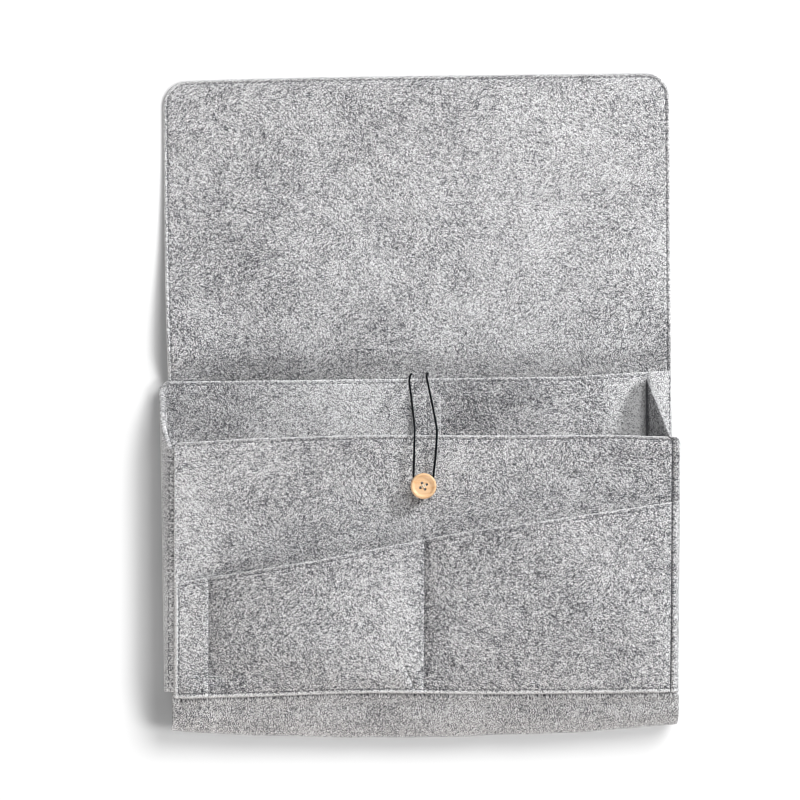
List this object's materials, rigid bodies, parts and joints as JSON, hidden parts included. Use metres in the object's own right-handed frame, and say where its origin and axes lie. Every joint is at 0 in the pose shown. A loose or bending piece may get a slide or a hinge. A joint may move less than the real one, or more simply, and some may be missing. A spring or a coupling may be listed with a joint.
{
  "type": "sofa organizer",
  "caption": "Grey felt organizer lying flat: a long flap to tuck under a cushion, a boxed pocket with bowed gussets, a slanted pleated pocket, and an elastic loop hooked on a wooden button.",
  "frame": {"origin": "middle of the whole object's outline, on the surface that the back sheet and the laid-out flap rest on", "axes": "+Y towards the flap's free edge, +Z out of the pocket's front, +X to the right as seen from the front"},
  "size_m": [0.343, 0.438, 0.0599],
  "materials": {
    "grey_felt": "matte mottled pressed felt",
    "pale_wood": "smooth satin",
    "cream_thread": "twisted sewing thread",
    "dark_elastic": "covered round elastic"
  },
  "bodies": {
    "back": {"back_panel": "grey_felt", "pocket_back_wall": "grey_felt", "inner_strip": "grey_felt", "left_gusset": "grey_felt", "right_gusset": "grey_felt", "bottom_gusset": "grey_felt", "elastic_loop": "dark_elastic"},
    "flap": {"flap": "grey_felt"},
    "pocket_front": {"front_panel": "grey_felt", "pleated_pocket": "grey_felt"},
    "button": {"button": "pale_wood", "button_thread": "cream_thread"}
  },
  "joints": [
    {"name": "flap_fold", "type": "hinge", "parent": "back", "child": "flap", "pos_m": [0, 0.031, 0.0015], "axis": [1, 0, 0], "range_deg": [-95, 120]},
    {"name": "pocket_depth", "type": "slide", "parent": "back", "child": "pocket_front", "axis": [0, 0, 1], "range_m": [-0.02, 0.004], "deforming": ["left_gusset", "right_gusset", "bottom_gusset", "elastic_loop"]},
    {"name": "button_swivel", "type": "hinge", "parent": "pocket_front", "child": "button", "pos_m": [0.0016, -0.0518, 0.0501], "axis": [0, 0, 1], "range_deg": [-30, 30]}
  ]
}
